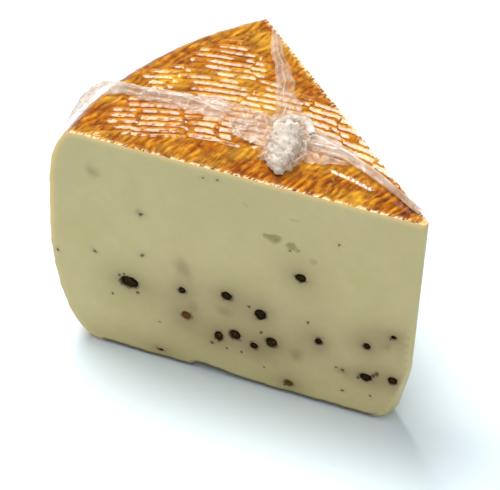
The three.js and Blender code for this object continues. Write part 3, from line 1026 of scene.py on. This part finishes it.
# The gathers' edges in plan, in mm in the wheel's frame.
RIM_GATHER = (
    [(-128, 30), (-122, 29), (-116, 28.5), (-110, 28), (-100, 28.5), (-92, 30), (-82, 31.5), (-72, 32.2),
     (-60, 32)],
    [(-129, 18), (-124, 17), (-119, 17.5), (-112, 20), (-105, 23), (-98, 22.5), (-88, 23.2), (-80, 22.5),
     (-70, 20.5)],
)
CORNER_GATHER = (
    [(-76.5, 75), (-72.5, 63), (-67, 52), (-62.5, 40), (-59, 27)],
    [(-74.5, 75), (-68, 63), (-62, 54), (-57, 44), (-49, 31)],
)
TIP_GATHER = (
    [(-50, 32), (-41, 28.5), (-36, 25.8), (-31, 22.4), (-25, 19), (-18, 14), (-10, 8), (-4, 3.6)],
    [(-49, 20), (-40, 19.5), (-33, 18.5), (-27, 16), (-22, 13.2), (-15, 9.3), (-8, 5), (-4, 2.4)],
)
TIP_WEB = (
    [(-48, 22), (-43, 20.5), (-38, 19.4), (-31, 17.6)],
    [(-46, 14), (-41, 13.5), (-36, 15.6), (-31, 17.2)],
)
CRINKLES = (
    [(-71, 26), (-67, 29), (-62, 31), (-55, 31)],
    [(-71, 19.5), (-67, 17), (-63, 15.5), (-57, 14.5)],
)


# The bunch: its body, the fold that loops behind it, and the loose film round it. The first two are
# spines of (x, y, height, radius), and the last is a panel's edges.
BUNCH_BODY = [
    (-51, 26.5, 81.6, 1.8), (-51.6, 23, 82.4, 4.0), (-51.4, 18, 82.8, 4.9), (-50.8, 13, 82.6, 4.8),
    (-49.8, 8.5, 82.0, 3.8), (-48.6, 5, 81.4, 1.6),
]
BUNCH_LOOP = [
    (-56, 22, 81.8, 0.9), (-56.3, 26, 82.4, 1.4), (-53, 29.5, 82.8, 1.6), (-48.3, 28.8, 82.8, 1.7),
    (-45.6, 25, 82.2, 1.1),
]
BUNCH_WRAP = (
    [(-56.5, 7), (-57.5, 14), (-58, 22), (-56, 30)],
    [(-46, 5), (-44.5, 11), (-44, 20), (-45, 30)],
)


def make_film(look):
    """The gathers of the sheet: three arms, the web and wrinkles between them, and the bunch."""
    film = FilmBuilder()
    rim_creases = [(0.3, 0.75, 0.85), (0.5, 0.35, 0.5), (0.75, 0.55, 0.4), (0.25, 0.2, 0.3)]
    add_panel(film, *RIM_GATHER, 1.3, 0.26, rim_creases, 1.0, (0.1, 0.14), 0.35)
    add_panel(film, *CORNER_GATHER, 0.9, 0.2, [(0.6, 0.35, 0.4), (0.2, 0.12, 0.3)], 3.0, (0.06, 0.02))
    add_panel(film, *TIP_GATHER, 1.2, 0.34, [(0.5, 0.55, 0.7), (0.8, 0.3, 0.4)], 4.0, (0.02, 0.05))
    add_panel(film, *TIP_WEB, 0.5, 0.2, [(0.4, 0.5, 0.4)], 5.0, (0.02, 0.1))
    add_panel(film, *CRINKLES, 0.8, 0.22, [(0.3, 0.5, 0.4), (0.7, 0.6, 0.5)], 6.0, (0.1, 0.04), 0.7)
    core = [(x, y, z - 0.5, 0.78 * radius) for x, y, z, radius in BUNCH_BODY]
    add_bunch(film, BUNCH_BODY, 0.68, 3.0, 34, 24)
    add_bunch(film, core, 0.97, 4.0, 26, 18)
    add_bunch(film, BUNCH_LOOP, 0.7, 5.0, 24, 10, 0.8)
    add_panel(film, *BUNCH_WRAP, 1.6, 0.16, [(0.2, 0.4, 0.5), (0.8, 0.6, 0.5)], 7.0, (0.1, 0.1), 1.0)
    piece = film.finish("film_gathers", look)
    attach(piece, "root")
    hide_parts("cling_film")


# -------- stage

def make_floor():
    floor = new_mesh("floor", [(-3, -3, 0), (3, -3, 0), (3, 3, 0), (-3, 3, 0)], [(0, 1, 2, 3)], smooth=False)
    nodes = Nodes("floor")
    nodes.set(Base_Color=nodes.ramp(nodes.noise(400.0), (0.3, (226, 238, 243)), (0.7, (230, 241, 245))))
    nodes.set(Roughness=0.5, Specular_IOR_Level=0.25)
    floor.data.materials.append(nodes.material)


LIGHT_TARGET = Vector((0.0, 0.0, 0.05))


def make_light(name, place, size, power):
    """A square softbox turned towards the wedge."""
    lamp = bpy.data.lights.new(name, "AREA")
    lamp.size = size
    lamp.energy = power
    holder = bpy.data.objects.new(name, lamp)
    holder.location = place
    holder.rotation_euler = (LIGHT_TARGET - Vector(place)).to_track_quat("-Z", "Y").to_euler()
    bpy.context.scene.collection.objects.link(holder)


CAMERA_AZIMUTH, CAMERA_ELEVATION, CAMERA_ROLL = (math.radians(angle) for angle in (18.51, 39.68, 3.11))
CAMERA_PLACE = (112.7, -500.2, 493.2)
CAMERA_LENS = 165.6


def make_camera():
    """The camera, by its place from the wheel's axis in mm and by its angles."""
    flat = math.cos(CAMERA_ELEVATION)
    east, south = math.sin(CAMERA_AZIMUTH) * flat, -math.cos(CAMERA_AZIMUTH) * flat
    back = Vector((east, south, math.sin(CAMERA_ELEVATION)))
    level = Vector((0, 0, 1)).cross(back).normalized()
    above = back.cross(level)
    right = level * math.cos(CAMERA_ROLL) + above * math.sin(CAMERA_ROLL)
    up = back.cross(right)
    camera = bpy.data.objects.new("camera", bpy.data.cameras.new("camera"))
    camera.data.lens = CAMERA_LENS
    camera.data.sensor_width = 36.0
    turn = Matrix((right, up, back)).transposed().to_4x4()
    camera.matrix_world = Matrix.Translation(Vector(to_row([CAMERA_PLACE])[0])) @ turn
    bpy.context.scene.collection.objects.link(camera)
    bpy.context.scene.camera = camera


def light_scene():
    """A pale wall all round, dimmer overhead, and softboxes above and in front."""
    world = bpy.data.worlds.new("studio")
    world.use_nodes = True
    tree = world.node_tree
    direction = tree.nodes.new("ShaderNodeTexCoord").outputs["Generated"]
    split = tree.nodes.new("ShaderNodeSeparateXYZ")
    fade = tree.nodes.new("ShaderNodeValToRGB")
    wall, sky = fade.color_ramp.elements
    wall.position, wall.color = 0.2, (0.78, 0.81, 0.83, 1.0)
    sky.position, sky.color = 0.45, (0.2, 0.21, 0.215, 1.0)
    tree.links.new(direction, split.inputs[0])
    tree.links.new(split.outputs["Z"], fade.inputs[0])
    tree.links.new(fade.outputs[0], tree.nodes["Background"].inputs[0])
    bpy.context.scene.world = world
    bpy.context.scene.view_settings.view_transform = "Standard"
    make_light("top_softbox", (-0.5, 0.26, 1.25), 0.6, 22)
    make_light("front_softbox", (0.2, -0.7, 1.2), 1.3, 6.5)


make_camera()
light_scene()
make_floor()
cheese = make_cheese()
cheese.data.materials.append(rind_material())
cheese.data.materials.append(paste_material())
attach(cheese, "root")
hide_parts("cheese_wedge")
pepper = pepper_material()
for side, sections in (("front", FRONT_CORNS), ("back", BACK_CORNS)):
    for number, section in enumerate(sections, start=1):
        make_peppercorn(f"peppercorn_{side}_{number:02d}", section, side == "back", number, pepper)
make_film(film_material())
